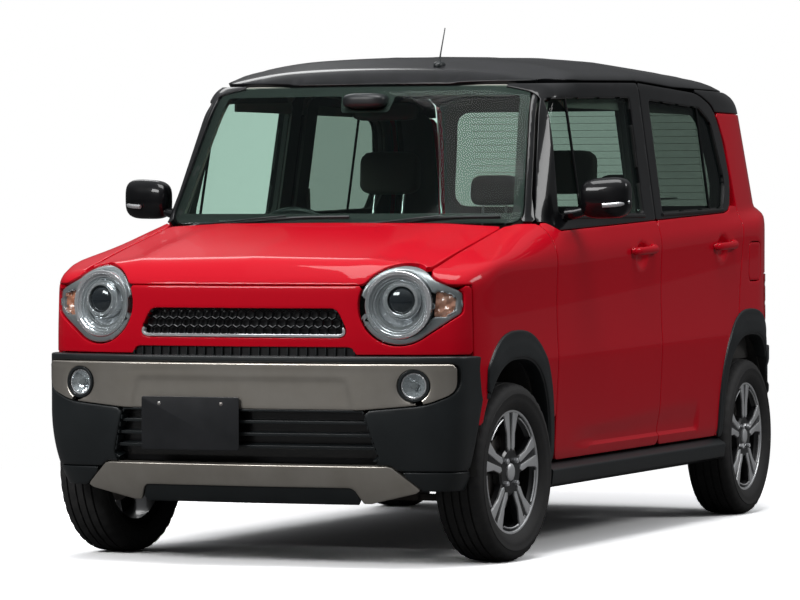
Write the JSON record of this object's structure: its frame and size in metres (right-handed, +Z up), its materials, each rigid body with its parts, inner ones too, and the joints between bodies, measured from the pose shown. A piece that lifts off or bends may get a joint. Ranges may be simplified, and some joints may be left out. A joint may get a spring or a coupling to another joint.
{
  "type": "kei car",
  "caption": "Tall two-box mini car with opening doors, bonnet and tailgate, rolling wheels and working steering.",
  "frame": {"origin": "on the ground, midway along the overall length and across the width", "axes": "+X to the car's left, +Y to the rear, +Z up"},
  "size_m": [1.794, 3.395, 1.712],
  "materials": {
    "body_paint": "gloss",
    "roof_paint": "gloss",
    "gloss_black": "gloss",
    "black_plastic": "satin",
    "garnish_silver": "metallic satin",
    "lamp_clear": "clear lens over chrome",
    "lamp_red": "gloss",
    "glass_clear": "gloss",
    "glass_dark": "gloss",
    "plate_dark": "satin",
    "interior_plastic": "grained",
    "seat_fabric": "woven",
    "engine_metal": "cast",
    "chassis_steel": "painted",
    "underbody_steel": "sealed",
    "exhaust_steel": "heat stained",
    "tank_plastic": "moulded",
    "wheel_alloy": "machined over black",
    "tyre_rubber": "matte"
  },
  "bodies": {
    "body": {"floor_pan": "underbody_steel", "side_panel_left": "body_paint", "side_panel_right": "body_paint", "roof_panel": "roof_paint", "front_wings": "body_paint", "front_fascia": "body_paint", "headlamps": "lamp_clear", "upper_grille": "black_plastic", "front_bumper": "black_plastic", "bumper_garnish": "garnish_silver", "lower_grille": "black_plastic", "front_plate": "plate_dark", "skid_plate": "garnish_silver", "fog_lamps": "lamp_clear", "windscreen": "glass_clear", "cowl": "black_plastic", "wipers": "black_plastic", "arch_claddings": "black_plastic", "sill_claddings": "black_plastic", "rear_bumper": "black_plastic", "tail_lamps": "lamp_red", "dashboard": "interior_plastic", "front_seat_left": "seat_fabric", "front_seat_right": "seat_fabric", "rear_seat": "seat_fabric", "interior_mirror": "interior_plastic", "engine_block": "engine_metal", "front_suspension": "chassis_steel", "rear_axle_beam": "chassis_steel", "exhaust": "exhaust_steel", "fuel_tank": "tank_plastic", "antenna": "black_plastic"},
    "bonnet": {"bonnet": "body_paint"},
    "tailgate": {"tailgate": "body_paint", "tailgate_glass": "glass_dark", "rear_plate": "plate_dark"},
    "fuel_lid": {"fuel_lid": "body_paint"},
    "steering_wheel": {"steering_wheel": "interior_plastic"},
    "front_door_left": {"front_door_left": "body_paint", "front_door_glass_left": "glass_clear", "door_mirror_left": "gloss_black"},
    "rear_door_left": {"rear_door_left": "body_paint", "rear_door_glass_left": "glass_dark"},
    "knuckle_left": {"knuckle_left": "chassis_steel"},
    "front_door_right": {"front_door_right": "body_paint", "front_door_glass_right": "glass_clear", "door_mirror_right": "gloss_black"},
    "rear_door_right": {"rear_door_right": "body_paint", "rear_door_glass_right": "glass_dark"},
    "knuckle_right": {"knuckle_right": "chassis_steel"},
    "wheel_front_left": {"tyre_front_left": "tyre_rubber", "rim_front_left": "wheel_alloy"},
    "wheel_front_right": {"tyre_front_right": "tyre_rubber", "rim_front_right": "wheel_alloy"},
    "wheel_rear_left": {"tyre_rear_left": "tyre_rubber", "rim_rear_left": "wheel_alloy"},
    "wheel_rear_right": {"tyre_rear_right": "tyre_rubber", "rim_rear_right": "wheel_alloy"}
  },
  "joints": [
    {"name": "front_door_left_hinge", "type": "hinge", "parent": "body", "child": "front_door_left", "pos_m": [0.7155, -0.73625, 0.7], "axis": [0, 0, -1], "range_deg": [0, 65]},
    {"name": "rear_door_left_hinge", "type": "hinge", "parent": "body", "child": "rear_door_left", "pos_m": [0.7155, 0.31375, 0.7], "axis": [0, 0, -1], "range_deg": [0, 75]},
    {"name": "front_door_right_hinge", "type": "hinge", "parent": "body", "child": "front_door_right", "pos_m": [-0.7155, -0.73625, 0.7], "axis": [0, 0, 1], "range_deg": [0, 65]},
    {"name": "rear_door_right_hinge", "type": "hinge", "parent": "body", "child": "rear_door_right", "pos_m": [-0.7155, 0.31375, 0.7], "axis": [0, 0, 1], "range_deg": [0, 75]},
    {"name": "bonnet_hinge", "type": "hinge", "parent": "body", "child": "bonnet", "pos_m": [0, -0.975, 1.027], "axis": [-1, 0, 0], "range_deg": [0, 50]},
    {"name": "tailgate_hinge", "type": "hinge", "parent": "body", "child": "tailgate", "pos_m": [0, 1.426, 1.572], "axis": [1, 0, 0], "range_deg": [0, 80]},
    {"name": "fuel_lid_hinge", "type": "hinge", "parent": "body", "child": "fuel_lid", "pos_m": [0.725, 1.27575, 0.915], "axis": [0, 0, -1], "range_deg": [0, 110]},
    {"name": "steer_left", "type": "hinge", "parent": "body", "child": "knuckle_left", "pos_m": [0.608, -1.16, 0.281], "axis": [0, 0, 1], "range_deg": [-30, 40]},
    {"name": "wheel_front_left_spin", "type": "hinge", "parent": "knuckle_left", "child": "wheel_front_left", "pos_m": [0.64486, -1.16322, 0.281], "axis": [0.9962, -0.0872, 0], "continuous": true},
    {"name": "wheel_rear_left_spin", "type": "hinge", "parent": "body", "child": "wheel_rear_left", "pos_m": [0.645, 1.265, 0.281], "axis": [1, 0, 0], "continuous": true},
    {"name": "steer_right", "type": "hinge", "parent": "body", "child": "knuckle_right", "pos_m": [-0.608, -1.16, 0.281], "axis": [0, 0, 1], "range_deg": [-30, 40]},
    {"name": "wheel_front_right_spin", "type": "hinge", "parent": "knuckle_right", "child": "wheel_front_right", "pos_m": [-0.64486, -1.15678, 0.281], "axis": [0.9962, -0.0872, 0], "continuous": true},
    {"name": "wheel_rear_right_spin", "type": "hinge", "parent": "body", "child": "wheel_rear_right", "pos_m": [-0.645, 1.265, 0.281], "axis": [1, 0, 0], "continuous": true},
    {"name": "steering_wheel_turn", "type": "hinge", "parent": "body", "child": "steering_wheel", "pos_m": [-0.33, -0.4, 0.945], "axis": [0, -0.9135, -0.4067], "range_deg": [-640, 480]}
  ],
  "couplings": [
    {"joint": "steer_right", "follows": "steer_left", "ratio": 1},
    {"joint": "steering_wheel_turn", "follows": "steer_left", "ratio": -16}
  ]
}
